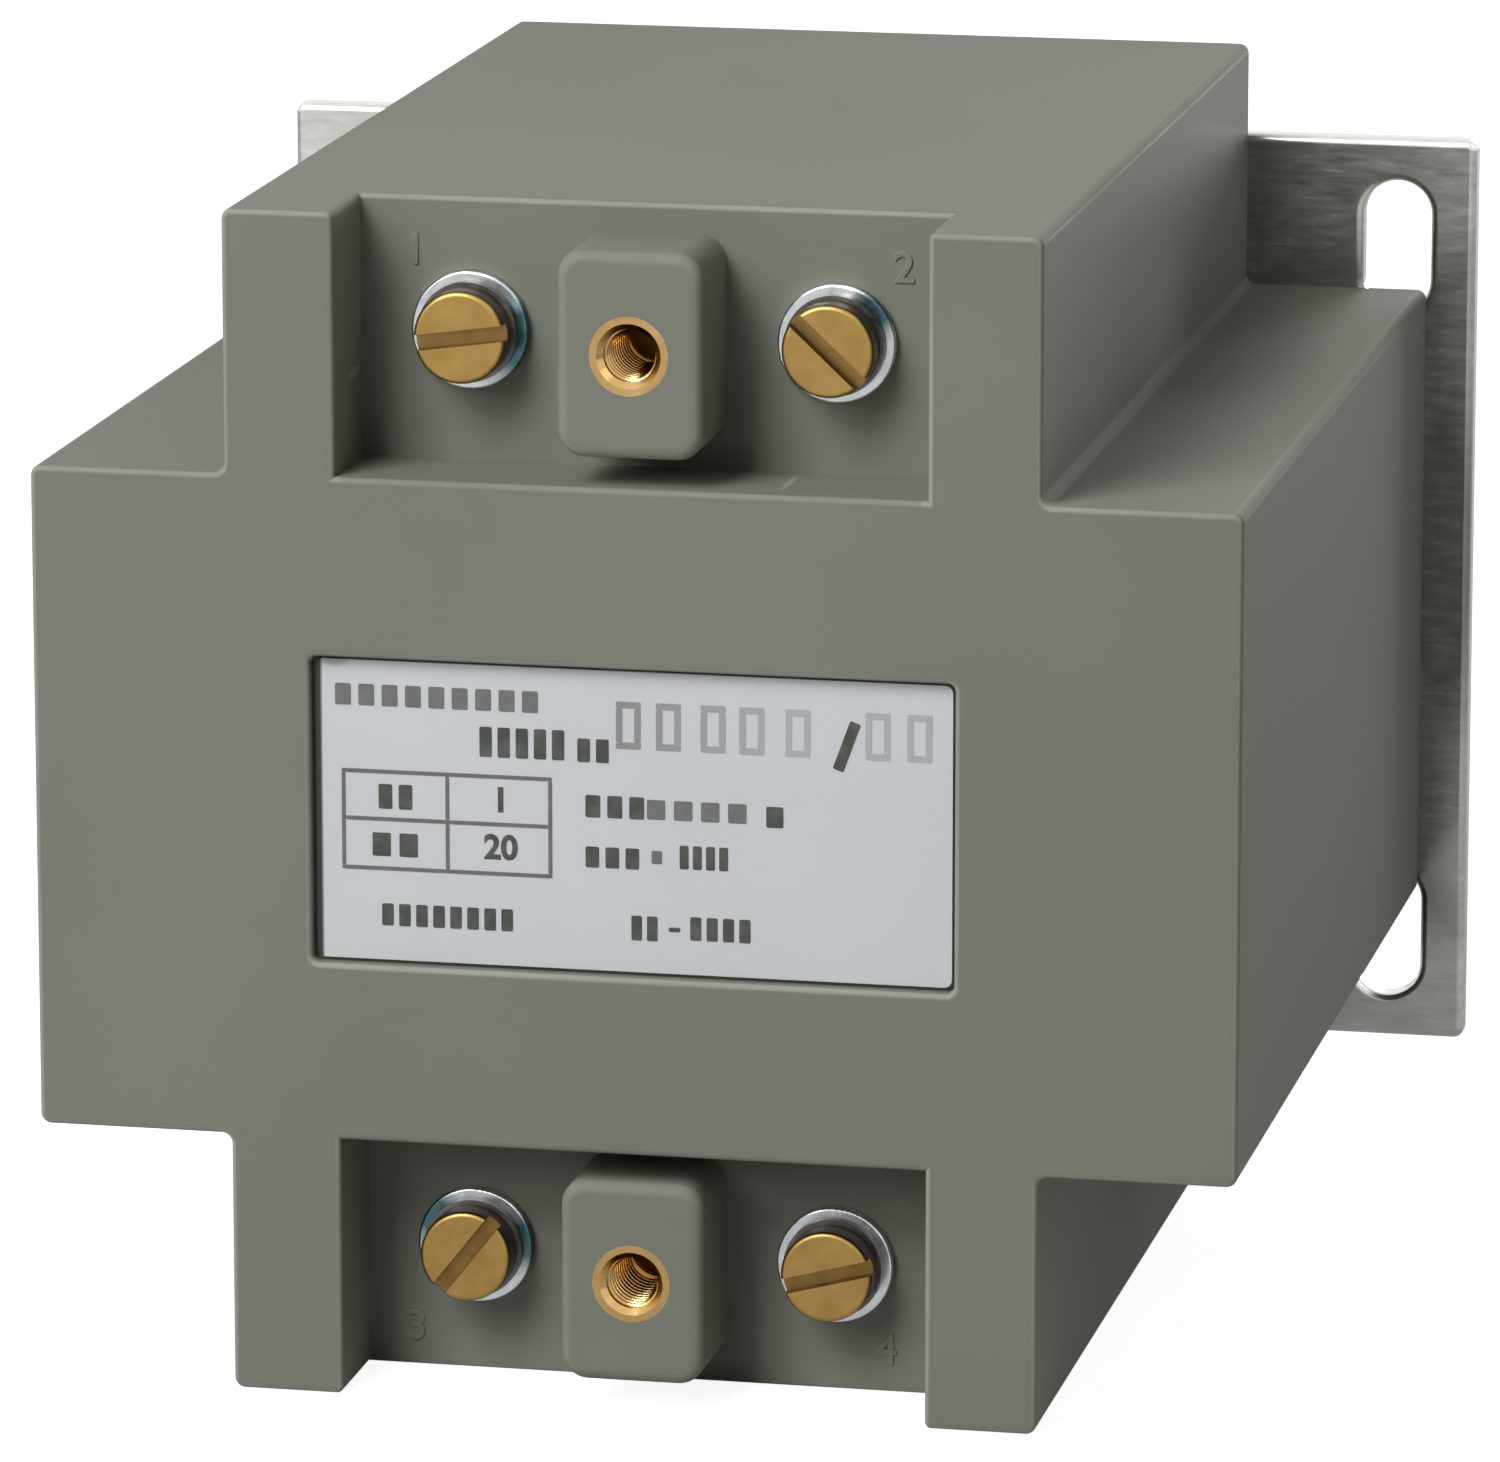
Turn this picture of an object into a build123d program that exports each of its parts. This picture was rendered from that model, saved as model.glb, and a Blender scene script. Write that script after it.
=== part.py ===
from build123d import *
import os

# Encapsulated voltage transformer on a flat steel mounting plate, in millimetres.
# The origin is the middle of the plate's rear face. +Z is up and the front looks along -Y.
# A depth is measured from the plate's rear face towards the front, so it is -Y.

# Laminated core: the width of the middle leg sets the whole outline of an E and I lamination
tongue_width = 28.0
stack_height = 43.0
core_fit = 0.3

# Coil on its bobbin, whose two windings share the room that the window leaves
bobbin_wall = 1.2
insulation_build = 0.8
wrap_build = 0.8
layer_gap = 0.1
layer_count = 5
coil_to_leg = 1.2
lead_diameter = 2.4
lead_bend = 4.0
lead_inset = 4.0
lead_straight_share = 1 / 3

# Moulded case
case_wall = 3.7
coil_clearance = 0.5
terminal_zone = 20.0
rear_fill = 4.0
front_zone = 22.0
corner_round = 0.8
front_round = 0.5
potting_fit = 0.05
edge_search = 0.001

# Terminal recesses in the two ends of the tower, with a raised block between two terminals
recess_width = 45.0
recess_depth = 9.0
terminal_pitch = 28.0
barrier_width = 11.0
barrier_height = 15.6
barrier_round = 2.0
barrier_edge_round = 1.0
boss_wall = 2.2

# Pocket for the rating label
pocket_width = 49.2
pocket_height = 23.6
pocket_depth = 1.5
pocket_round = 0.6
label_thickness = 0.5
label_gap = 0.3

# Mounting plate with a slot at each corner
plate_width = 100.0
plate_height = 76.0
plate_thickness = 2.0
plate_corner = 0.8
plate_edge_round = 0.6
slot_width = 5.6
slot_length = 11.0
slot_side_margin = 6.5
slot_end_margin = 3.5

# M4 cheese-head terminal screws with their washers, and the inserts they screw into
screw_diameter = 4.0
screw_length = 10.0
head_diameter = 7.0
head_height = 2.6
head_round = 0.35
drive_width = 1.2
drive_depth = 1.1
drive_angles = {"upper_left": 8.0, "upper_right": -43.0, "lower_left": 52.0, "lower_right": 15.0}
washer_diameter = 9.0
washer_thickness = 0.8
washer_edge_round = 0.2
spring_diameter = 7.6
spring_thickness = 0.9
spring_split = 0.8
spring_split_angle = 215.0
screw_clearance = 0.15
thread_gap = 0.05
bore_spare = 0.5
terminal_insert_diameter = 8.0
terminal_insert_length = 10.0
insert_groove = 0.5
insert_groove_share = 1 / 3

# M4 inserts in the raised blocks, for the screws of a terminal cover
cover_thread = 4.0
cover_insert_diameter = 6.0
cover_insert_length = 11.0
cover_bore_depth = 9.0
cover_mouth = 0.45

# M4 countersunk screws that hold the plate, and their inserts
plate_screw_length = 10.0
plate_head_diameter = 8.0
plate_head_margin = 1.0
plate_insert_diameter = 7.0
plate_insert_length = 10.0
plate_drive_depth = 0.9

# Sizes that follow from those above
leg_width = tongue_width / 2
window_length = tongue_width * 1.5
core_width = tongue_width * 3
core_length = window_length + 2 * leg_width
core_rear = plate_thickness + rear_fill
core_front = core_rear + core_length
coil_front = core_front - leg_width - core_fit
coil_rear = core_rear + leg_width + core_fit
coil_build = leg_width - coil_to_leg
layer_gaps = (layer_count - 1) * layer_gap
copper_room = coil_build - core_fit - bobbin_wall - insulation_build - wrap_build - layer_gaps
layers = [bobbin_wall, copper_room / 2, insulation_build, copper_room / 2, wrap_build]
coil_width = tongue_width + 2 * coil_build
wing_span = core_width + 2 * (core_fit + case_wall)
wing_height = stack_height + 2 * (core_fit + case_wall)
tower_width = coil_width + 2 * (coil_clearance + case_wall)
tower_height = wing_height + 2 * terminal_zone
front = core_front + front_zone
recess_back = front - recess_depth
terminal_height = (wing_height + terminal_zone) / 2
tower_inner_width = tower_width - 2 * case_wall
tower_inner_height = tower_height - 2 * case_wall
terminal_cavity_front = recess_back - case_wall
middle_cavity_front = front - pocket_depth - case_wall
terminal_insert_rear = recess_back - terminal_insert_length
plate_boss_radius = plate_insert_diameter / 2 + boss_wall
plate_screw_x = tower_inner_width / 2 - plate_insert_diameter / 2 - boss_wall / 2
plate_screw_z = plate_height / 2 - plate_head_diameter / 2 - plate_head_margin
stack_under_head = washer_thickness + spring_thickness
lead_offset = tongue_width / 2 - lead_inset
slot_pitch_x = plate_width - 2 * slot_side_margin
slot_pitch_z = plate_height - 2 * slot_end_margin - slot_length

# Name of each terminal with the side and the end of the tower it is on
terminals = {
    "upper_left": (-1, 1),
    "upper_right": (1, 1),
    "lower_left": (-1, -1),
    "lower_right": (1, -1),
}


def slab(profile, rear, ahead):
    """Solid of a front-view profile between two depths."""
    return extrude(Plane.XZ.offset(rear) * profile, amount=ahead - rear)


def spot(x, z, depth):
    """Plane at a point of the front view, with its own Z pointing out of the front."""
    return Plane(origin=(x, -depth, z), x_dir=(1, 0, 0), z_dir=(0, -1, 0))


def rod(diameter, length):
    """Cylinder that starts on the plane it is placed on."""
    return Cylinder(diameter / 2, length, align=(Align.CENTER, Align.CENTER, Align.MIN))


def ring(outer, inner, length):
    """Tube that starts on the plane it is placed on."""
    return rod(outer, length) - rod(inner, length)


def terminal_spot(side, end, depth):
    """Plane on the axis of one terminal."""
    return spot(side * terminal_pitch / 2, end * terminal_height, depth)


def plate_screw_spot(side, end, depth):
    """Plane on the axis of one screw of the mounting plate."""
    return spot(side * plate_screw_x, end * plate_screw_z, depth)


def recess_profile(end):
    """Front view of one terminal recess, which runs out through the end of the tower."""
    height = terminal_zone + corner_round
    return Pos(0, end * (wing_height + height) / 2) * Rectangle(recess_width, height)


def barrier_profile(end):
    """Front view of the raised block between two terminals."""
    return Pos(0, end * terminal_height) * RectangleRounded(barrier_width, barrier_height, barrier_round)


def edges_at(shape, axis, level):
    """Edges of a shape whose middles lie at one level along an axis."""
    return shape.edges().filter_by_position(axis, level - edge_search, level + edge_search)


def recess_rim(block, end):
    """Edges where a recess runs out through the end of the tower."""
    rim = edges_at(block, Axis.Z, end * tower_height / 2)
    return rim.filter_by_position(Axis.Y, -front + edge_search, -recess_back + edge_search)


def make_barrier(end):
    """Raised block between two terminals, with its front edge rounded."""
    block = slab(barrier_profile(end), recess_back - case_wall / 2, front)
    return fillet(edges_at(block, Axis.Y, -front), barrier_edge_round)


def outer_block():
    """Outside of the case: a plus-shaped profile drawn out in depth, with its recesses and pocket."""
    cross = Rectangle(wing_span, wing_height) + Rectangle(tower_width, tower_height)
    block = slab(fillet(cross.vertices(), corner_round), plate_thickness, front)
    for end in (1, -1):
        block -= slab(recess_profile(end), recess_back, front)
    block -= slab(RectangleRounded(pocket_width, pocket_height, pocket_round), front - pocket_depth, front)
    rims = recess_rim(block, 1) + recess_rim(block, -1)
    block = fillet(edges_at(block, Axis.Y, -front) + rims, front_round)
    return block + make_barrier(1) + make_barrier(-1)


def cavity():
    """Room inside the case, open at the rear: across the wings for the core, up the tower for the coil."""
    core_room = Rectangle(core_width + 2 * core_fit, stack_height + 2 * core_fit)
    tower_room = Rectangle(tower_inner_width, tower_inner_height)
    room = slab(core_room, plate_thickness, middle_cavity_front)
    return room + slab(tower_room, plate_thickness, terminal_cavity_front)


def terminal_boss(side, end):
    """Boss round a terminal insert, joined to the end wall of the tower."""
    width = terminal_insert_diameter + 2 * boss_wall
    reach = tower_inner_height / 2 - terminal_height
    outline = Circle(width / 2) + Pos(0, end * reach / 2) * Rectangle(width, reach)
    outline = Pos(side * terminal_pitch / 2, end * terminal_height) * outline
    return slab(outline, terminal_insert_rear, terminal_cavity_front)


def plate_boss(side, end):
    """Boss round a plate insert, joined to the side wall of the tower."""
    reach = tower_inner_width / 2 - plate_screw_x
    outline = Circle(plate_boss_radius) + Pos(side * reach / 2, 0) * Rectangle(reach, 2 * plate_boss_radius)
    outline = Pos(side * plate_screw_x, end * plate_screw_z) * outline
    room = Rectangle(tower_inner_width, tower_inner_height)
    return slab(outline & room, plate_thickness, plate_thickness + plate_insert_length + boss_wall)


def bosses():
    """All bosses that stand inside the case."""
    made = Part()
    for side, end in terminals.values():
        made += terminal_boss(side, end)
        made += plate_boss(side, end)
    return made


def make_case():
    """Moulded case: one shell with its bosses and the seats of all inserts."""
    case = outer_block() - cavity() + bosses()
    for side, end in terminals.values():
        case -= terminal_spot(side, end, terminal_insert_rear) * terminal_insert_blank()
        case -= plate_screw_spot(side, end, plate_thickness) * plate_insert_blank()
    for end in (1, -1):
        case -= spot(0, end * terminal_height, front - cover_insert_length) * cover_insert_blank()
    return case


def grooved_rod(diameter, length):
    """Turned insert blank with a groove round its middle that the moulding grips."""
    blank = rod(diameter, length)
    groove_length = length * insert_groove_share
    groove = ring(diameter, diameter - 2 * insert_groove, groove_length)
    return blank - Pos(0, 0, (length - groove_length) / 2) * groove


def terminal_insert_blank():
    return grooved_rod(terminal_insert_diameter, terminal_insert_length)


def plate_insert_blank():
    return grooved_rod(plate_insert_diameter, plate_insert_length)


def cover_insert_blank():
    return grooved_rod(cover_insert_diameter, cover_insert_length)


def make_terminal_insert(side, end):
    """Brass insert that a terminal screw goes into, blind behind the screw's end."""
    bore_depth = screw_length - stack_under_head + bore_spare
    bore = Pos(0, 0, terminal_insert_length - bore_depth) * rod(screw_diameter + 2 * thread_gap, bore_depth)
    return terminal_spot(side, end, terminal_insert_rear) * (terminal_insert_blank() - bore)


def make_cover_insert(end):
    """Brass insert in a raised block, with a countersunk mouth."""
    body = cover_insert_blank()
    body -= Pos(0, 0, cover_insert_length - cover_bore_depth) * rod(cover_thread, cover_bore_depth)
    mouth = Cone(cover_thread / 2, cover_thread / 2 + cover_mouth, cover_mouth)
    body -= Pos(0, 0, cover_insert_length - cover_mouth / 2) * mouth
    return spot(0, end * terminal_height, front - cover_insert_length) * body


def make_plate_insert(side, end):
    """Brass insert that a plate screw goes into, open to the rear."""
    bore_depth = plate_screw_length - plate_thickness + bore_spare
    bore = rod(screw_diameter + 2 * thread_gap, bore_depth)
    return plate_screw_spot(side, end, plate_thickness) * (plate_insert_blank() - bore)


def make_terminal_screw(side, end, angle):
    """Slotted cheese-head screw, seated on its washers."""
    head = rod(head_diameter, head_height)
    head = fillet(head.edges().group_by(Axis.Z)[-1], head_round)
    drive = Pos(0, 0, head_height - drive_depth / 2) * Box(2 * head_diameter, drive_width, drive_depth)
    head -= Rot(0, 0, angle) * drive
    shank = Pos(0, 0, -screw_length) * rod(screw_diameter, screw_length)
    return terminal_spot(side, end, recess_back + stack_under_head) * (head + shank)


def make_flat_washer(side, end):
    """Punched flat washer with its outer edges rolled over."""
    washer = ring(washer_diameter, screw_diameter + 2 * screw_clearance, washer_thickness)
    outer_edges = washer.edges().filter_by(GeomType.CIRCLE).group_by(SortBy.RADIUS)[-1]
    return terminal_spot(side, end, recess_back) * fillet(outer_edges, washer_edge_round)


def make_spring_washer(side, end):
    """Split spring washer, pressed flat."""
    body = ring(spring_diameter, screw_diameter + 2 * screw_clearance, spring_thickness)
    split = Pos(spring_diameter / 2, 0, spring_thickness / 2) * Box(spring_diameter, spring_split, spring_diameter)
    body -= Rot(0, 0, spring_split_angle) * split
    return terminal_spot(side, end, recess_back + washer_thickness) * body


def make_label():
    """Flat rating label, bonded to the floor of its pocket."""
    inset = 2 * label_gap
    outline = RectangleRounded(pocket_width - inset, pocket_height - inset, pocket_round)
    floor = front - pocket_depth
    return slab(outline, floor, floor + label_thickness)


def plate_screw_cone(extra):
    """Countersunk head of a plate screw, wide at the plate's rear face and widened by a clearance."""
    taper = (plate_head_diameter - screw_diameter) / 2
    wide = plate_head_diameter / 2 + extra
    return Pos(0, 0, taper / 2) * Cone(wide, wide - taper, taper)


def make_plate():
    """Punched steel plate with rolled-over front edges, four slots and four countersunk holes."""
    sheet = slab(RectangleRounded(plate_width, plate_height, plate_corner), 0, plate_thickness)
    for x in (-slot_pitch_x / 2, slot_pitch_x / 2):
        for z in (-slot_pitch_z / 2, slot_pitch_z / 2):
            slot = Pos(x, z) * Rot(0, 0, 90) * SlotOverall(slot_length, slot_width)
            sheet -= slab(slot, 0, plate_thickness)
    sheet = fillet(edges_at(sheet, Axis.Y, -plate_thickness), plate_edge_round)
    for side, end in terminals.values():
        seat = plate_screw_cone(screw_clearance) + rod(screw_diameter + 2 * screw_clearance, plate_thickness)
        sheet -= plate_screw_spot(side, end, 0) * seat
    return sheet


def make_plate_screw(side, end):
    """Slotted countersunk screw, flush with the plate's rear face."""
    body = plate_screw_cone(0) + rod(screw_diameter, plate_screw_length)
    drive = Box(2 * plate_head_diameter, drive_width, plate_drive_depth)
    body -= Pos(0, 0, plate_drive_depth / 2) * drive
    return plate_screw_spot(side, end, 0) * body


def upright(profile):
    """Solid of a top-view profile, as high as the lamination stack and centred on the middle height."""
    return extrude(Plane.XY * profile, amount=stack_height / 2, both=True)


def make_core_e():
    """Stack of E laminations with its back at the plate and its three legs towards the front."""
    length = core_length - leg_width
    outline = Pos(0, -core_rear - length / 2) * Rectangle(core_width, length)
    for side in (1, -1):
        centre_x = side * (tongue_width + leg_width) / 2
        centre_y = -core_rear - leg_width - window_length / 2
        outline -= Pos(centre_x, centre_y) * Rectangle(leg_width, window_length)
    return upright(outline)


def make_core_i():
    """Stack of I laminations that closes the three legs."""
    return upright(Pos(0, -core_front + leg_width / 2) * Rectangle(core_width, leg_width))


def coil_ring(inner_build, outer_build, rear, ahead):
    """Rounded tube round the middle leg, between two thicknesses of build."""
    outer = coil_profile(outer_build)
    return slab(outer - coil_profile(inner_build), rear, ahead)


def coil_profile(build):
    """Outline at one thickness of build round the middle leg, with its corners rounded by the wire."""
    outline = Rectangle(tongue_width + 2 * build, stack_height + 2 * build)
    return fillet(outline.vertices(), build)


def layer_start(index):
    """Build at which a layer of the coil starts."""
    return core_fit + sum(layers[:index]) + layer_gap * index


def make_bobbin():
    """Bobbin with a flange at each end and an exit hole in the front flange for every lead."""
    body = coil_ring(core_fit, core_fit + bobbin_wall, coil_rear, coil_front)
    for rear in (coil_rear, coil_front - bobbin_wall):
        body += coil_ring(core_fit, coil_build, rear, rear + bobbin_wall)
    for side, end in terminals.values():
        hole = rod(lead_diameter + 2 * layer_gap, bobbin_wall)
        body -= spot(side * lead_offset, lead_exit_height(end), coil_front - bobbin_wall) * hole
    return body


def make_layer(index):
    """One layer of the coil, between the flanges of the bobbin."""
    start = layer_start(index)
    inset = bobbin_wall + layer_gap
    return coil_ring(start, start + layers[index], coil_rear + inset, coil_front - inset)


def lead_exit_height(end):
    """Height at which a lead leaves its winding: primary at the upper end, secondary at the lower."""
    index = 1 if end > 0 else 3
    return end * (stack_height / 2 + layer_start(index) + layers[index] / 2)


def make_lead(side, end, diameter):
    """Insulated lead from the front of its winding to the rear of its terminal insert."""
    start_depth = coil_front - bobbin_wall - layer_gap
    straight = (terminal_insert_rear - start_depth) * lead_straight_share
    exit_height = lead_exit_height(end)
    start = Vector(side * lead_offset, -start_depth, exit_height)
    rise = Vector(side * lead_offset, -start_depth - straight, exit_height)
    reach = Vector(side * terminal_pitch / 2, -terminal_insert_rear + straight, end * terminal_height)
    finish = Vector(side * terminal_pitch / 2, -terminal_insert_rear, end * terminal_height)
    path = FilletPolyline(start, rise, reach, finish, radius=lead_bend)
    section = Plane(origin=path @ 0, z_dir=path % 0) * Circle(diameter / 2)
    return sweep(section, path=path)


def make_potting():
    """Cast resin that fills the case round the core, the coil and the leads."""
    fill = cavity() - bosses()
    fill -= make_core_e()
    fill -= make_core_i()
    fill -= slab(coil_profile(coil_build), coil_rear, coil_front)
    for side, end in terminals.values():
        fill -= make_lead(side, end, lead_diameter + 2 * potting_fit)
    return fill


def make_parts():
    """Every separate piece under the name of its node."""
    parts = {
        "moulded_case": make_case(),
        "potting_fill": make_potting(),
        "mounting_plate": make_plate(),
        "rating_label": make_label(),
        "core_e_laminations": make_core_e(),
        "core_i_laminations": make_core_i(),
        "coil_bobbin": make_bobbin(),
        "primary_winding": make_layer(1),
        "interwinding_insulation": make_layer(2),
        "secondary_winding": make_layer(3),
        "coil_outer_wrap": make_layer(4),
        "cover_insert_upper": make_cover_insert(1),
        "cover_insert_lower": make_cover_insert(-1),
    }
    for place, (side, end) in terminals.items():
        winding = "primary" if end > 0 else "secondary"
        hand = "left" if side < 0 else "right"
        parts[f"{winding}_lead_{hand}"] = make_lead(side, end, lead_diameter)
        parts[f"terminal_insert_{place}"] = make_terminal_insert(side, end)
        parts[f"flat_washer_{place}"] = make_flat_washer(side, end)
        parts[f"spring_washer_{place}"] = make_spring_washer(side, end)
        parts[f"terminal_screw_{place}"] = make_terminal_screw(side, end, drive_angles[place])
        parts[f"plate_insert_{place}"] = make_plate_insert(side, end)
        parts[f"plate_screw_{place}"] = make_plate_screw(side, end)
    return parts


os.makedirs("parts", exist_ok=True)
for name, solid in make_parts().items():
    solid.label = name
    export_step(solid, f"parts/{name}.step")
    print(name, round(solid.volume, 1))
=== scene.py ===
# %% [markdown]
# # A sealed voltage transformer, dressed for its picture
# The CAD model already holds every solid part at its true size and place. This script gives those parts
# their finishes and adds the small things that a solid model leaves out: the print on the rating label,
# the terminal numbers moulded in the recesses, the thread in the brass inserts and the marks of use.
# All sizes are in millimetres and are turned into Blender's metres with MM.

# %% Load the frame
import math

import bpy
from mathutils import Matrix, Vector


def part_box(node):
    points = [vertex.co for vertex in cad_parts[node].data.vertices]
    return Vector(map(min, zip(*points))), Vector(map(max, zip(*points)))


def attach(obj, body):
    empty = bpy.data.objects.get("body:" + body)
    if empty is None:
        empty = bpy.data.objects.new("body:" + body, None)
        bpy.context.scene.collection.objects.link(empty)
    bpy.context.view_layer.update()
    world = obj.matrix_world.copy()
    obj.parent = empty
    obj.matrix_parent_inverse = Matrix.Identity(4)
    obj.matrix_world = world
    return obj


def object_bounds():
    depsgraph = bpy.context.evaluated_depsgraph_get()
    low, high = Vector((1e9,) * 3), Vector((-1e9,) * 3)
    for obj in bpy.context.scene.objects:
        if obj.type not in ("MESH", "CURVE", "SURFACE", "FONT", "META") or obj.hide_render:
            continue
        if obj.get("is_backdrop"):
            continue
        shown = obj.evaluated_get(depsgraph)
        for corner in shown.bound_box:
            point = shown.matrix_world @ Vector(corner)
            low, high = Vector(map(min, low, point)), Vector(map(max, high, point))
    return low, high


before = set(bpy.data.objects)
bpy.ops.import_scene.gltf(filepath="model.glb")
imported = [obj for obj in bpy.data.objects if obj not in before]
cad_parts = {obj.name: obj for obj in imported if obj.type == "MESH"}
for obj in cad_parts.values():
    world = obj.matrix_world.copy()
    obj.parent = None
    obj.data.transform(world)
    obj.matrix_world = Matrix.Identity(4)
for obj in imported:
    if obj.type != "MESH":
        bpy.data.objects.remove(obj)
cad_low, cad_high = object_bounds()
MM = 0.001
scene = bpy.context.scene
print("CAD box from", cad_low[:], "to", cad_high[:])

# %% [markdown]
# ## Camera
# A long lens from a little to the right and above keeps the upright edges nearly parallel, as in a
# catalogue picture. Its place could be found by trial, but it is quicker to choose the two angles from
# which the top and the right side show as much as they do in the picture, a point inside the block to
# look at, and a distance. The camera then stands on the line that those give.

# %% Camera
azimuth = math.radians(11.84)
elevation = math.radians(12.65)
look_at = Vector((-1.1, -49.0, -3.6)) * MM
distance = 774.9 * MM
away = Vector((
    math.sin(azimuth) * math.cos(elevation),
    -math.cos(azimuth) * math.cos(elevation),
    math.sin(elevation),
))
bpy.ops.object.camera_add(
    location=look_at + away * distance,
    rotation=(math.pi / 2 - elevation, 0, azimuth),
)
camera = bpy.context.object
camera.data.sensor_width = 36
camera.data.lens = 234.1
scene.camera = camera
print("camera at", [round(v, 3) for v in camera.location])

# %% [markdown]
# ## Nodes for every finish
# A finish is a Principled shader with patterns wired into it. The nodes could be placed by hand in the
# shader editor, but twenty finishes share a few steps. So these short functions make one node each, and
# a finish further down reads as a list of what the real surface has.

# %% Shader, nodes and links
def new_finish(name, roughness, metallic=0.0, specular=0.5):
    material = bpy.data.materials.new(name)
    material.use_nodes = True
    shader = material.node_tree.nodes["Principled BSDF"]
    shader.inputs["Roughness"].default_value = roughness
    shader.inputs["Metallic"].default_value = metallic
    shader.inputs["Specular IOR Level"].default_value = specular
    return material


def node(material, kind, **values):
    made = material.node_tree.nodes.new(kind)
    for name, value in values.items():
        made.inputs[name.replace("_", " ")].default_value = value
    return made


def join(material, source, target):
    material.node_tree.links.new(source, target)


def set_input(material, name, value):
    join(material, value, material.node_tree.nodes["Principled BSDF"].inputs[name])


# %% [markdown]
# ## Patterns
# All patterns are drawn on object coordinates, which here are metres on the real part, so a scale of 1000
# makes a pattern about a millimetre wide. A noise gives clouds, grain and streaks. Map Range turns a part
# of its values into a share from 0 to 1, and that share mixes two colours or sets the shine. A picture of
# each surface could be wrapped round the parts, but a computed pattern needs no file, has no seam and
# stays sharp in a close view.

# %% Patterns and mixes
def part_coordinates(material, stretch=(1, 1, 1)):
    coordinates = node(material, "ShaderNodeTexCoord")
    mapping = node(material, "ShaderNodeMapping", Scale=stretch)
    join(material, coordinates.outputs["Object"], mapping.inputs["Vector"])
    return mapping.outputs["Vector"]


def noise(material, scale, stretch=(1, 1, 1), detail=3.0, roughness=0.5):
    pattern = node(material, "ShaderNodeTexNoise", Scale=scale, Detail=detail, Roughness=roughness)
    join(material, part_coordinates(material, stretch), pattern.inputs["Vector"])
    return pattern.outputs["Fac"]


def between(material, value, low, high, to_low=0.0, to_high=1.0):
    limits = {"From_Min": low, "From_Max": high, "To_Min": to_low, "To_Max": to_high}
    ranged = node(material, "ShaderNodeMapRange", **limits)
    join(material, value, ranged.inputs["Value"])
    return ranged.outputs["Result"]


def mix_colours(material, share, first, second):
    mix = node(material, "ShaderNodeMix")
    mix.data_type = "RGBA"
    join(material, share, mix.inputs["Factor"])
    colour_inputs = [socket for socket in mix.inputs if socket.type == "RGBA"]
    for socket, colour in zip(colour_inputs, (first, second)):
        if isinstance(colour, tuple):
            socket.default_value = (*colour, 1)
        else:
            join(material, colour, socket)
    return next(socket for socket in mix.outputs if socket.type == "RGBA")


def bump(material, height, strength, distance):
    raised = node(material, "ShaderNodeBump", Strength=strength, Distance=distance)
    join(material, height, raised.inputs["Height"])
    set_input(material, "Normal", raised.outputs["Normal"])


# %% [markdown]
# ## Marks and zones
# Wear and dirt sit at certain places, not all over. A place is found in one of two ways: a round mark is
# a spherical gradient that a Mapping node moves and stretches to its spot, and a zone is worked out from
# the part's own X, Y and Z, or from the direction that its surface faces. A painted mask would do the
# same, but a few numbers are easier to change, and they say where the mark is.

# %% Marks and zones
def calculate(material, operation, first, second=0.0):
    maths = node(material, "ShaderNodeMath")
    maths.operation = operation
    for socket, value in zip(maths.inputs, (first, second)):
        if isinstance(value, (int, float)):
            socket.default_value = value
        else:
            join(material, value, socket)
    return maths.outputs["Value"]


def highest(material, values):
    result = values[0]
    for value in values[1:]:
        result = calculate(material, "MAXIMUM", result, value)
    return result


def mark_at(material, centre, radii):
    coordinates = node(material, "ShaderNodeTexCoord")
    size = [radius * MM for radius in radii]
    mapping = node(material, "ShaderNodeMapping", Location=[value * MM for value in centre], Scale=size)
    mapping.vector_type = "TEXTURE"
    join(material, coordinates.outputs["Object"], mapping.inputs["Vector"])
    spot = node(material, "ShaderNodeTexGradient")
    spot.gradient_type = "SPHERICAL"
    join(material, mapping.outputs["Vector"], spot.inputs["Vector"])
    return between(material, spot.outputs["Fac"], 0, 0.6)


def axes_of(material, source_kind, output):
    source = node(material, source_kind)
    parts = node(material, "ShaderNodeSeparateXYZ")
    join(material, source.outputs[output], parts.inputs["Vector"])
    return [parts.outputs[axis] for axis in "XYZ"]


def place_on_part(material):
    return axes_of(material, "ShaderNodeTexCoord", "Object")


def way_it_faces(material):
    return axes_of(material, "ShaderNodeNewGeometry", "True Normal")


# %% [markdown]
# ## Rubbed and highlit edges of the case
# On the real case every sharp edge has been rubbed slightly lighter, and the same lighter colour also
# stands as a painted highlight that the rounded edges catch, so it is partly wear and partly painted
# highlight. The edges could be painted one by one, but all faces of the block are square to the axes except
# its rounded edges, so the surface's own direction finds them. Hands and tools reach the front: the long
# edges that run back to the plate are lightened half as much, and the raised blocks and the lips of the
# recesses, which stand safe, still less.

# %% Rubbed and highlit edges
def edge_shares(material):
    sizes = [calculate(material, "ABSOLUTE", value) for value in way_it_faces(material)]
    rounded = between(material, highest(material, sizes), 0.995, 0.9)
    towards_front = between(material, sizes[1], 0.05, 0.3, 0.5, 1)
    return rounded, calculate(material, "MULTIPLY", rounded, towards_front)


def spared_zone(material, half_width, height, half_height, share):
    border = 0.1
    x, _, z = place_on_part(material)
    off_axis = calculate(material, "ABSOLUTE", x)
    aside = between(material, off_axis, half_width * MM, (half_width + border) * MM)
    from_middle = calculate(material, "SUBTRACT", calculate(material, "ABSOLUTE", z), height * MM)
    off_middle = calculate(material, "ABSOLUTE", from_middle)
    past_end = between(material, off_middle, half_height * MM, (half_height + border) * MM)
    return between(material, highest(material, [aside, past_end]), 0, 1, share, 1)


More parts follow.
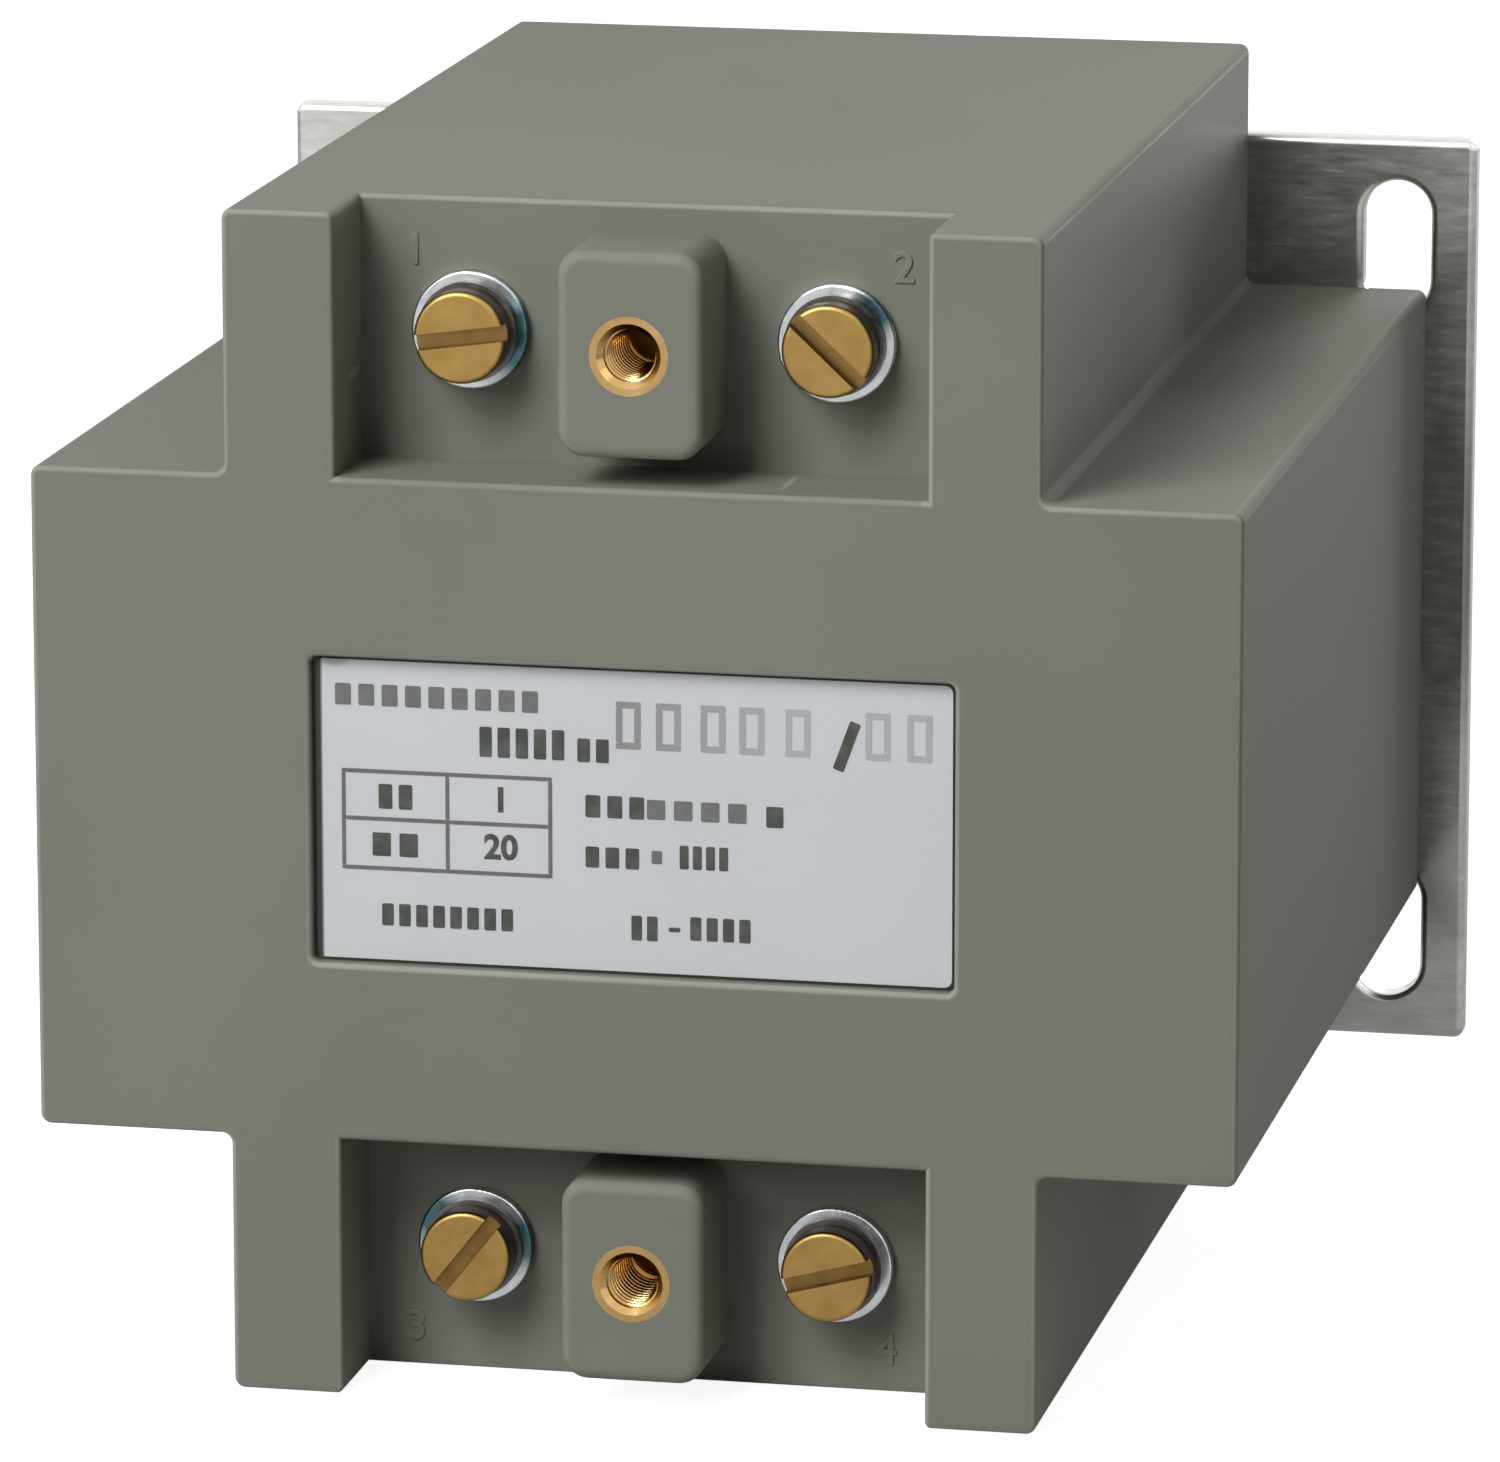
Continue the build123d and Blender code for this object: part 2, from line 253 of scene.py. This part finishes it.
# %% [markdown]
# ## Moulded case
# The case is pressed from a grey-green filled polyester. It is satin and a little cloudy, with a fine grain
# from the mould. The grain could be modelled, but it is finer than a hair, so a bump pattern gives it
# without one extra face. The rounded edges are duller than the faces, or a lamp behind the block would
# draw a bright band on them. Two thin pale flow marks run across the upper recess, one on its floor and
# one on its left wall, where the compound closed up last in the mould.

# %% Moulded case
def make_case_finish(name, colour, cloud, pale_colour):
    material = new_finish(name, 0.55, specular=0.12)
    clouds = noise(material, 35, detail=4)
    body = mix_colours(material, between(material, clouds, 0.3, 0.7), colour, cloud)
    rounded, in_front = edge_shares(material)
    raised_blocks = spared_zone(material, 6, 35.5, 8.6, 0.35)
    recess_lips = spared_zone(material, 22, 26, 1.5, 0.4)
    # Lighter rounded edges: partly rubbed wear, partly painted highlight.
    worn_and_highlit = between(material, clouds, 0.25, 0.6, 0.35, 0.8)
    for share in (in_front, raised_blocks, recess_lips):
        worn_and_highlit = calculate(material, "MULTIPLY", worn_and_highlit, share)
    floor_mark = mark_at(material, (11.1, -92.9, 25.5), (0.4, 3.6, 0.5))
    wall_mark = mark_at(material, (-22.5, -91.4, 32.3), (0.5, 2.2, 0.5))
    flow_marks = calculate(material, "MULTIPLY", calculate(material, "ADD", floor_mark, wall_mark), 0.7)
    pale = highest(material, [worn_and_highlit, flow_marks])
    set_input(material, "Base Color", mix_colours(material, pale, body, pale_colour))
    satin = between(material, clouds, 0.2, 0.8, 0.5, 0.64)
    duller = calculate(material, "MULTIPLY", rounded, 0.2)
    set_input(material, "Roughness", calculate(material, "ADD", satin, duller))
    bump(material, noise(material, 1800, detail=2), 0.25, 0.04 * MM)
    return material


def dress(part_name, material):
    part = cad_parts[part_name]
    part.data.materials.clear()
    part.data.materials.append(material)
    print(part_name, "is finished in", material.name)


case_finish = make_case_finish(
    "moulding_grey_green", (0.212, 0.223, 0.181), (0.232, 0.243, 0.198), (0.40, 0.41, 0.35)
)
dress("moulded_case", case_finish)

# %% [markdown]
# ## Cast resin behind the plate
# The resin that fills the case shows only at the back, above and below the plate. It is the same colour
# family as the case but darker and shinier, with the slow waves of a liquid that set under its own weight.
# The waves are too shallow to be worth a mesh, so a bump pattern makes them.

# %% Cast resin
def make_resin_finish():
    material = new_finish("cast_resin", 0.3, specular=0.5)
    waves = noise(material, 90, detail=2)
    colour = mix_colours(material, waves, (0.075, 0.08, 0.066), (0.10, 0.105, 0.088))
    set_input(material, "Base Color", colour)
    bump(material, waves, 0.4, 0.3 * MM)
    return material


dress("potting_fill", make_resin_finish())

# %% [markdown]
# ## Rating label
# The label is a pale blue-grey printed film on a thin backing, bonded to the floor of its pocket. A dark
# line along its left edge is painted shadow from the pocket's wall, and a faint dark smear shows at the
# corner above.
# Both lie flat on the film, so they are colour in its finish and not pieces of their own.

# %% Rating label
def make_label_finish():
    material = new_finish("label_film", 0.38, specular=0.35)
    film = mix_colours(material, noise(material, 60, detail=3), (0.635, 0.67, 0.69), (0.69, 0.72, 0.74))
    corner_mark = mark_at(material, (-22.9, -97.0, 11.4), (1.4, 0.5, 0.6))
    smear = calculate(material, "MULTIPLY", corner_mark, 0.45)
    smeared = mix_colours(material, smear, film, (0.16, 0.16, 0.13))
    # Painted shadow along the label's left edge, where the pocket's wall shades the film.
    painted_shadow_line = between(material, place_on_part(material)[0], -23.75 * MM, -23.95 * MM)
    set_input(material, "Base Color", mix_colours(material, painted_shadow_line, smeared, (0.045, 0.05, 0.04)))
    bump(material, noise(material, 900), 0.05, 0.02 * MM)
    return material


dress("rating_label", make_label_finish())

# %% [markdown]
# ## Brass
# The terminal screws are turned brass that has gone a little brown, and the inserts keep a brighter skin.
# Fine stains come from one noise pattern that changes both the colour and the shine. The tarnish is
# darkest where no cloth reaches, and the same dark colour is also laid as painted shade: on the sides of a
# screw's head, in its slot, and on the surfaces of an insert that face down, under its upper lip. It could
# be painted on each of the fourteen parts, but the surface's direction and its depth behind the face find
# those places on all of them at once.

# %% Where brass is tarnished and shaded
# Tarnish and painted shade on surfaces that do not face forward.
def side_tarnish_and_shade(material):
    facing_forward = calculate(material, "ABSOLUTE", way_it_faces(material)[1])
    return between(material, facing_forward, 0.75, 0.35)


def slot_tarnish_and_shade(material):
    screw_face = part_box("terminal_screw_upper_left")[0].y
    depth = place_on_part(material)[1]
    # Tarnish and painted shade in the screw's slot.
    sunk_tarnish_and_shade = between(material, depth, screw_face + 0.3 * MM, screw_face + 1.1 * MM, 0, 0.4)
    return highest(material, [side_tarnish_and_shade(material), sunk_tarnish_and_shade])


# Tarnish and painted shade on surfaces that face down.
def underside_tarnish_and_shade(material):
    return between(material, way_it_faces(material)[2], -0.1, -0.6)


# %% Brass
def make_brass(name, bright, dull, tarnish_and_shade, tarnish_and_shade_share, roughness):
    material = new_finish(name, roughness, metallic=1.0)
    stains = noise(material, 500, detail=4)
    face = mix_colours(material, between(material, stains, 0.3, 0.7), bright, dull)
    # The dark colour is partly tarnish and partly painted shade.
    set_input(material, "Base Color", mix_colours(material, tarnish_and_shade_share(material), face, tarnish_and_shade))
    shine = between(material, stains, 0.2, 0.8, roughness - 0.06, roughness + 0.08)
    set_input(material, "Roughness", shine)
    bump(material, noise(material, 4000), 0.15, 0.02 * MM)
    return material


places = ("upper_left", "upper_right", "lower_left", "lower_right")
screw_brass = make_brass(
    "turned_brass", (0.50, 0.32, 0.10), (0.38, 0.23, 0.07), (0.07, 0.04, 0.015), slot_tarnish_and_shade, 0.38
)
insert_brass = make_brass(
    "bright_brass", (0.74, 0.49, 0.20), (0.60, 0.38, 0.14), (0.12, 0.07, 0.03), underside_tarnish_and_shade, 0.16
)
for place in places:
    dress(f"terminal_screw_{place}", screw_brass)
    dress(f"terminal_insert_{place}", insert_brass)
    dress(f"plate_insert_{place}", insert_brass)
for end in ("upper", "lower"):
    dress(f"cover_insert_{end}", insert_brass)

# %% [markdown]
# ## Painted shade on the plate
# Painted shade darkens the plate's front close to the block, along the outline where the wings and
# the tower meet it, and most in the narrow strips beside the wings. Such a shade could be painted as a
# vertex colour, but the plate has few vertices, so it is measured from the block's outline instead:
# how far a point lies past the wings, and how far past the tower.

# %% Painted shade on the plate
wing_half_width, wing_half_height = 46, 25.5
tower_half_width, tower_half_height = 31, 45.5


def beyond(material, half_width, half_height):
    x, _, z = place_on_part(material)
    return highest(material, [
        calculate(material, "SUBTRACT", calculate(material, "ABSOLUTE", value), half * MM)
        for value, half in ((x, half_width), (z, half_height))
    ])


# Painted shade on the plate's front near the block and beside the wings.
def painted_shade_share(material):
    past_wings = beyond(material, wing_half_width, wing_half_height)
    past_tower = beyond(material, tower_half_width, tower_half_height)
    nearest = calculate(material, "MINIMUM", past_wings, past_tower)
    shade_marks = [between(material, nearest, 1 * MM, 6 * MM, 0.7, 0)]
    for side in (-1, 1):
        shade_beside_wing = mark_at(material, (47.5 * side, -2, 3), (6, 4, 26))
        shade_marks.append(calculate(material, "MULTIPLY", shade_beside_wing, 0.8))
    front_side = between(material, place_on_part(material)[1], -1.2 * MM, -1.8 * MM)
    return calculate(material, "MULTIPLY", highest(material, shade_marks), front_side)


# %% [markdown]
# ## Blue patches on the washers
# Zinc is passivated in a bath that leaves it bluish, and on these washers the blue shows in patches. A
# noise would scatter them alike on all four. So each patch is a round mark, placed from the middle of its
# washer, and the washers differ as real ones do.

# %% Blue patches on the washers
def passivation_share(material):
    patches = []
    for place, across, up, size in (
        ("upper_left", 4.1, -0.6, 5.0),
        ("upper_right", 3.0, 2.6, 2.4),
        ("lower_left", -3.4, 2.4, 2.8),
        ("lower_left", 4.0, 0.6, 3.0),
    ):
        low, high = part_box(f"flat_washer_{place}")
        centre = ((low.x + high.x) / 2 / MM + across, low.y / MM, (low.z + high.z) / 2 / MM + up)
        patches.append(mark_at(material, centre, (size, size, size)))
    return highest(material, patches)


# %% [markdown]
# ## Zinc and steel
# The plate is cut from zinc-plated sheet, whose rolling left fine level streaks. Scratches could be drawn
# one by one, but a noise that is stretched five times in one direction gives thousands. The washers and
# the plate's own screws are brighter and have no streaks, and the spring washers are bare dark steel, so
# the same few nodes make all three with other colours.

# %% Zinc and steel
def make_zinc(name, bright, dark, stain_and_shade, stain_and_shade_share, roughness, stretch, scale, wave_depth):
    material = new_finish(name, roughness, metallic=1.0)
    streaks = noise(material, scale, stretch=stretch, detail=5, roughness=0.65)
    clean = mix_colours(material, between(material, streaks, 0.3, 0.7), dark, bright)
    # The second colour is painted shade on the plate and on the spring washers' sides, and blue passivation
    # on the flat washers.
    set_input(material, "Base Color", mix_colours(material, stain_and_shade_share(material), clean, stain_and_shade))
    shine = between(material, streaks, 0.2, 0.8, roughness - 0.08, roughness + 0.1)
    set_input(material, "Roughness", shine)
    waves = noise(material, 220, detail=1)
    ripple = calculate(material, "MULTIPLY", streaks, 0.03)
    bump(material, calculate(material, "ADD", waves, ripple), 1, wave_depth)
    return material


plate_zinc = make_zinc(
    "zinc_sheet", (0.84, 0.85, 0.80), (0.66, 0.67, 0.62), (0.16, 0.165, 0.14), painted_shade_share,
    0.22, (0.2, 1, 1), 1500, 0.05 * MM,
)
washer_zinc = make_zinc(
    "washer_zinc", (0.88, 0.90, 0.92), (0.66, 0.69, 0.72), (0.09, 0.18, 0.20), passivation_share,
    0.24, (1, 1, 1), 700, 0.6 * MM,
)
spring_steel = make_zinc(
    "spring_steel", (0.20, 0.19, 0.17), (0.12, 0.11, 0.10), (0.05, 0.045, 0.04), side_tarnish_and_shade,
    0.3, (1, 1, 1), 900, 0.6 * MM,
)
dress("mounting_plate", plate_zinc)
for place in places:
    dress(f"flat_washer_{place}", washer_zinc)
    dress(f"spring_washer_{place}", spring_steel)
    dress(f"plate_screw_{place}", washer_zinc)

# %% [markdown]
# ## Core and coil
# These parts are sealed inside the resin and show only if the case is hidden. The core is a pile of
# half-millimetre sheets, so its pattern is bands up its height. The windings are round wire laid side by
# side, so their bands run along the coil. Hundreds of real sheets and turns would be heavy and never seen,
# so a wave pattern draws them.

# %% Core and coil
def make_banded_finish(name, light, dark, direction, pitch, roughness, metallic):
    material = new_finish(name, roughness, metallic=metallic)
    bands = node(material, "ShaderNodeTexWave", Scale=2 * math.pi / (20 * pitch), Distortion=0.4)
    bands.bands_direction = direction
    join(material, part_coordinates(material), bands.inputs["Vector"])
    set_input(material, "Base Color", mix_colours(material, bands.outputs["Fac"], dark, light))
    bump(material, bands.outputs["Fac"], 0.5, pitch / 4)
    return material


for name, light, dark, direction, pitch, roughness, metallic, part_names in (
    ("core_sheets", (0.32, 0.33, 0.34), (0.10, 0.10, 0.11), "Z", 0.5 * MM, 0.4, 0.9,
     ("core_e_laminations", "core_i_laminations")),
    ("fine_wire", (0.55, 0.22, 0.10), (0.25, 0.08, 0.03), "Y", 0.3 * MM, 0.3, 1.0, ("primary_winding",)),
    ("thick_wire", (0.58, 0.25, 0.11), (0.26, 0.09, 0.03), "Y", 0.8 * MM, 0.3, 1.0,
     ("secondary_winding",)),
    ("coil_tape", (0.55, 0.50, 0.30), (0.42, 0.37, 0.20), "Y", 9 * MM, 0.45, 0.0,
     ("interwinding_insulation", "coil_outer_wrap")),
    ("bobbin_glass", (0.30, 0.29, 0.26), (0.24, 0.23, 0.20), "Z", 2 * MM, 0.5, 0.0, ("coil_bobbin",)),
    ("woven_sleeve", (0.62, 0.60, 0.52), (0.45, 0.43, 0.36), "Y", 0.6 * MM, 0.6, 0.0,
     ("primary_lead_left", "primary_lead_right", "secondary_lead_left", "secondary_lead_right")),
):
    banded = make_banded_finish(name, light, dark, direction, pitch, roughness, metallic)
    for part_name in part_names:
        dress(part_name, banded)

# %% [markdown]
# ## Printing on the label
# The print is generic: a ruled table with two plain numbers, and rows of small blocks that stand for words,
# one block for each letter, as on a draughtsman's sketch. A row of hollow boxes looks stamped by hand and
# fades as the stamp runs dry. A picture of print would need an image file, so each mark is a thin mesh: a
# plane set at its size and place, with its corners rounded and the whole extruded to a film of ink a few
# hundredths of a millimetre thick.

# %% Ink
def make_ink(name, colour):
    material = new_finish(name, 0.5, specular=0.3)
    thin_spots = between(material, noise(material, 700, detail=2), 0.4, 0.8)
    paler = tuple(0.8 * value + 0.08 for value in colour)
    set_input(material, "Base Color", mix_colours(material, thin_spots, colour, paler))
    return material


def make_fading_ink(name, colour, faded_colour):
    material = new_finish(name, 0.5, specular=0.3)
    faded = between(material, place_on_part(material)[0], -1 * MM, 12 * MM)
    set_input(material, "Base Color", mix_colours(material, faded, colour, faded_colour))
    return material


# %% [markdown]
# ## Blocks and words
# A mark starts as a plane of its own size on the label's front. A word is a row of such planes, where each
# fills about two thirds of its step. Every mark could be rounded and thickened by itself, but all marks of
# one ink are joined first, so that this is done once for the lot.

# %% Blocks and words
label_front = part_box("rating_label")[0].y
ink_film = 0.03 * MM
ink_corner = 0.12 * MM
letter_share = 0.68


def printed_block(x, z, width, height, lean=0.0):
    bpy.ops.mesh.primitive_plane_add(
        size=1, location=(x * MM, label_front, z * MM), rotation=(math.pi / 2, lean, 0)
    )
    block = bpy.context.object
    block.scale = (width * MM, height * MM, 1)
    bpy.ops.object.transform_apply(location=True, rotation=True, scale=True)
    return block


def printed_word(x, z, width, height, letters):
    step = width / (letters - 1 + letter_share)
    first = x + step * letter_share / 2
    return [printed_block(first + step * i, z, step * letter_share, height) for i in range(letters)]


def join_pieces(name, blocks):
    bpy.ops.object.select_all(action="DESELECT")
    for block in blocks:
        block.select_set(True)
    bpy.context.view_layer.objects.active = blocks[0]
    bpy.ops.object.join()
    piece = bpy.context.object
    piece.name = name
    return piece


def lay_ink(piece, material):
    bpy.ops.object.mode_set(mode="EDIT")
    bpy.ops.mesh.select_all(action="SELECT")
    bpy.ops.mesh.bevel(affect="VERTICES", offset=ink_corner, segments=2)
    bpy.ops.mesh.extrude_region_move(TRANSFORM_OT_translate={"value": (0, -ink_film, 0)})
    bpy.ops.mesh.select_all(action="SELECT")
    bpy.ops.mesh.normals_make_consistent(inside=False)
    bpy.ops.object.mode_set(mode="OBJECT")
    piece.data.materials.append(material)
    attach(piece, "root")
    print(piece.name, len(piece.data.polygons), "faces")


# %% [markdown]
# ## Dark words and pale words
# Most lines of the print are dark. One line at the top and one in the middle are paler, as where a ribbon
# ran low. The words could be dragged into place by eye, but a table of numbers is easier to correct: each
# row gives a word's left end, its middle height, its width, its height and its letters.

# %% Dark words
dark_ink = make_ink("ink_dark", (0.07, 0.075, 0.068))
dark_marks = []
for word in (
    (-11.7, 5.65, 6.5, 2.3, 5),
    (-4.2, 5.35, 2.4, 1.8, 2),
    (-19.5, 1.1, 2.6, 1.9, 2),
    (-20.0, -2.6, 3.5, 1.8, 2),
    (-3.6, 1.1, 4.5, 1.7, 3),
    (10.2, 0.9, 1.3, 1.6, 1),
    (-3.6, -2.8, 4.1, 1.6, 3),
    (3.6, -2.5, 3.7, 1.8, 4),
    (-19.3, -8.0, 10.1, 1.7, 8),
    (-0.1, -8.1, 2.0, 1.9, 2),
    (4.4, -7.95, 4.6, 1.8, 4),
):
    dark_marks += printed_word(*word)
dash = printed_block(3.2, -8.1, 0.9, 0.35)
stroke = printed_block(16.3, 6.55, 0.85, 3.9, lean=0.35)
lay_ink(join_pieces("label_words_dark", dark_marks + [dash, stroke]), dark_ink)

# %% Pale words
pale_ink = make_ink("ink_pale", (0.17, 0.175, 0.17))
pale_marks = printed_word(-22.8, 8.85, 15.6, 1.65, 9)
pale_marks += printed_word(1.1, 1.05, 7.6, 1.5, 4)
pale_marks.append(printed_block(1.85, -2.6, 0.8, 1.0))
lay_ink(join_pieces("label_words_pale", pale_marks), pale_ink)

# %% [markdown]
# ## Stamped row and ruled table
# A frame is four thin blocks, two level and two upright. It could be one plane with a hole inset in it, but
# four blocks keep every line equally wide. Seven small frames make the stamped row, and one large frame
# with a level rule and two upright ones makes the table.

# %% Stamped row
def printed_frame(left, right, bottom, top, line):
    middle = (top + bottom) / 2
    level = [printed_block((left + right) / 2, z, right - left + line, line) for z in (top, bottom)]
    return level + [printed_block(x, middle, line, top - bottom - line) for x in (left, right)]


stamp_ink = make_fading_ink("ink_stamped", (0.29, 0.30, 0.30), (0.47, 0.49, 0.50))
box_half_width = 0.7
stamped = []
for x in (-0.3, 2.75, 6.15, 9.1, 12.6, 18.65, 21.8):
    stamped += printed_frame(x - box_half_width, x + box_half_width, 5.85, 8.95, 0.5)
lay_ink(join_pieces("label_stamped_row", stamped), stamp_ink)

# %% Ruled table
rule_ink = make_ink("ink_rule", (0.15, 0.155, 0.15))
rule_width = 0.3
rules = printed_frame(-22.2, -6.3, -4.45, 3.0, rule_width)
rules.append(printed_block(-14.25, -0.65, 15.6, rule_width))
rules += [printed_block(-14.2, z, rule_width, height) for z, height in ((1.175, 3.35), (-2.55, 3.5))]
lay_ink(join_pieces("label_table_rules", rules), rule_ink)

# %% [markdown]
# ## Numbers
# The label's table holds two plain numbers, and each terminal has a number that stands a sixth of a
# millimetre proud of the recess floor, in the same plastic as the case. A figure could be drawn point by
# point, but a text object already has well-shaped ones. It is given its depth and its soft edge while it
# is still text, and is then turned into a mesh. Half of that depth is sunk in what carries it.

# %% Numbers in the table
def raised_number(name, text, x, z, front, height, thickness, edge, swell=0.0):
    bpy.ops.object.select_all(action="DESELECT")
    bpy.ops.object.text_add(location=(x * MM, front, z * MM), rotation=(math.pi / 2, 0, 0))
    number = bpy.context.object
    number.name = name
    number.data.body = text
    number.data.align_x = "CENTER"
    number.data.align_y = "CENTER"
    number.data.size = height * MM
    number.data.extrude = thickness / 2 * MM
    number.data.bevel_depth = edge * MM
    number.data.offset = swell * MM
    number.data.resolution_u = 4
    bpy.ops.object.convert(target="MESH")
    bpy.ops.object.transform_apply(location=True, rotation=True, scale=True)
    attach(number, "root")
    print(number.name, len(number.data.polygons), "faces")
    return number


for text, z in (("1", 1.15), ("20", -2.5)):
    number = raised_number(f"label_number_{text}", text, -10.1, z, label_front, 2.6, 0.03, 0, swell=0.09)
    number.data.materials.append(dark_ink)

# %% Numbers beside the terminals
recess_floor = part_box("flat_washer_upper_left")[1].y
for text, place, x, z in (
    ("1", "upper_left", -18.3, 41.3),
    ("2", "upper_right", 19.0, 41.2),
    ("3", "lower_left", -18.8, -42.4),
    ("4", "lower_right", 17.9, -42.2),
):
    number = raised_number(f"terminal_number_{place}", text, x, z, recess_floor, 3.3, 0.24, 0.04)
    number.data.materials.append(case_finish)

# %% [markdown]
# ## Thread in the two cover inserts
# A terminal cover is held by two screws, and their inserts have a thread that shows in the open bore. A
# three-cornered ridge is wound up the bore with Blender's Screw modifier, seven tenths of a millimetre to
# a turn. A bump pattern could fake the ridges, but the light really falls into these. One thread is wound
# round the object's own axis, where the modifier works, its ends are closed, and it is moved into its
# insert. The second is a copy with a mesh of its own.

# %% Wind one thread
def move_mesh(shift):
    bpy.ops.object.mode_set(mode="EDIT")
    bpy.ops.mesh.select_all(action="SELECT")
    bpy.ops.transform.translate(value=shift)
    bpy.ops.object.mode_set(mode="OBJECT")


def wind_thread(name, bore, ridge, pitch, turns):
    bpy.ops.object.select_all(action="DESELECT")
    bpy.ops.mesh.primitive_circle_add(vertices=3, radius=ridge, rotation=(math.pi / 2, math.pi / 2, 0))
    thread = bpy.context.object
    thread.name = name
    bpy.ops.object.transform_apply(location=True, rotation=True, scale=True)
    move_mesh((bore, 0, 0))
    bpy.ops.object.modifier_add(type="SCREW")
    wound = thread.modifiers[0]
    wound.axis = "Y"
    wound.screw_offset = pitch
    wound.iterations = turns
    wound.steps = wound.render_steps = 36
    wound.use_merge_vertices = True
    bpy.ops.object.modifier_apply(modifier=wound.name)
    bpy.ops.object.mode_set(mode="EDIT")
    bpy.ops.mesh.select_all(action="DESELECT")
    bpy.ops.mesh.select_non_manifold()
    bpy.ops.mesh.fill_holes(sides=4)
    bpy.ops.mesh.select_all(action="SELECT")
    bpy.ops.mesh.normals_make_consistent(inside=False)
    bpy.ops.object.mode_set(mode="OBJECT")
    thread.data.materials.append(insert_brass)
    return thread


# %% Set a thread in each insert
low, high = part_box("cover_insert_upper")
start_depth = 0.8 * MM
thread = wind_thread("insert_thread_upper", bore=2.0 * MM, ridge=0.32 * MM, pitch=0.7 * MM, turns=11)
move_mesh(((low.x + high.x) / 2, low.y + start_depth, (low.z + high.z) / 2))
bpy.ops.object.duplicate()
lower_thread = bpy.context.object
lower_thread.name = "insert_thread_lower"
move_mesh((0, 0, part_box("cover_insert_lower")[0].z - low.z))
for piece in (thread, lower_thread):
    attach(piece, "root")
    corners = piece.bound_box[0][:] + piece.bound_box[6][:]
    print(piece.name, len(piece.data.polygons), "faces", [round(value / MM, 2) for value in corners])

# %% [markdown]
# ## Floor
# The floor is a wide pale disc a twentieth of a millimetre under the lower end of the block, so that the
# two faces never share one plane. A glow that only the camera and, weakly, reflections see keeps it as
# white as the background, while the shadow of the object still falls on it. Stronger lamps would whiten
# the floor too, but they would bleach the object as well.

# %% Floor
def seen_or_mirrored(tree_owner, mirrored):
    path = node(tree_owner, "ShaderNodeLightPath")
    bounced = highest(tree_owner, [path.outputs["Is Glossy Ray"], path.outputs["Is Transmission Ray"]])
    bounced = calculate(tree_owner, "MULTIPLY", bounced, mirrored)
    return highest(tree_owner, [path.outputs["Is Camera Ray"], bounced])


floor_finish = new_finish("floor_white", 0.9, specular=0.2)
floor_shader = floor_finish.node_tree.nodes["Principled BSDF"]
floor_shader.inputs["Base Color"].default_value = (0.5, 0.5, 0.5, 1)
floor_shader.inputs["Emission Color"].default_value = (1, 1, 1, 1)
glow = calculate(floor_finish, "MULTIPLY", seen_or_mirrored(floor_finish, 0.2), 0.9)
set_input(floor_finish, "Emission Strength", glow)
bpy.ops.object.select_all(action="DESELECT")
floor_height = cad_low.z - 0.05 * MM
bpy.ops.mesh.primitive_circle_add(
    vertices=96, radius=4, fill_type="NGON", location=(0, -0.05, floor_height)
)
floor = bpy.context.object
floor.name = "floor"
floor.data.materials.append(floor_finish)
floor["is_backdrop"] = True
print("floor at", round(floor_height, 5))

# %% [markdown]
# ## Light
# Two soft lamps stand to the upper left and in front, one above the other, so that the right-hand faces
# and the insides of the recesses fall into shade. A third lamp behind the block brightens the back of its
# top, and a weak one at the right keeps that side from going flat. One large lamp would be simpler, but
# four can be set one at a time, each for the faces that it reaches. The world adds an even fill, and
# looks white to the camera and to reflections.

# %% Light
def softbox(name, towards, distance, size, power):
    direction = Vector(towards).normalized()
    bpy.ops.object.light_add(type="AREA", location=(cad_low + cad_high) / 2 + direction * distance)
    lamp = bpy.context.object
    lamp.name = name
    lamp.rotation_euler = direction.to_track_quat("Z", "Y").to_euler()
    lamp.data.shape = "SQUARE"
    lamp.data.size = size
    lamp.data.energy = power
    print(name, "gives", power, "watts")


softbox("key_light", (-0.30, -0.62, 0.72), distance=0.75, size=0.32, power=3.1)
softbox("low_light", (-0.40, -0.80, 0.44), distance=0.75, size=0.32, power=1.65)
softbox("rear_light", (0.17, 0.97, 0.12), distance=1.2, size=0.4, power=6.8)
softbox("side_light", (0.75, -0.10, 0.65), distance=1.2, size=0.6, power=0.9)

# %% World
fill_strength = 0.065
world = bpy.data.worlds.new("studio")
scene.world = world
world.use_nodes = True
background = world.node_tree.nodes["Background"]
background.inputs["Color"].default_value = (1, 1, 1, 1)
strength = between(world, seen_or_mirrored(world, 1.0), 0, 1, fill_strength, 1)
join(world, strength, background.inputs["Strength"])
scene.view_settings.view_transform = "Standard"
print("the world's fill is", fill_strength)

# %% [markdown]
# ## Size of the dressed model
# The dressed model must stay inside the CAD model's box. Both could be compared by eye. The CAD box is
# printed at the start, and the dressed model's box is measured here.

# %% Finish
low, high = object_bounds()
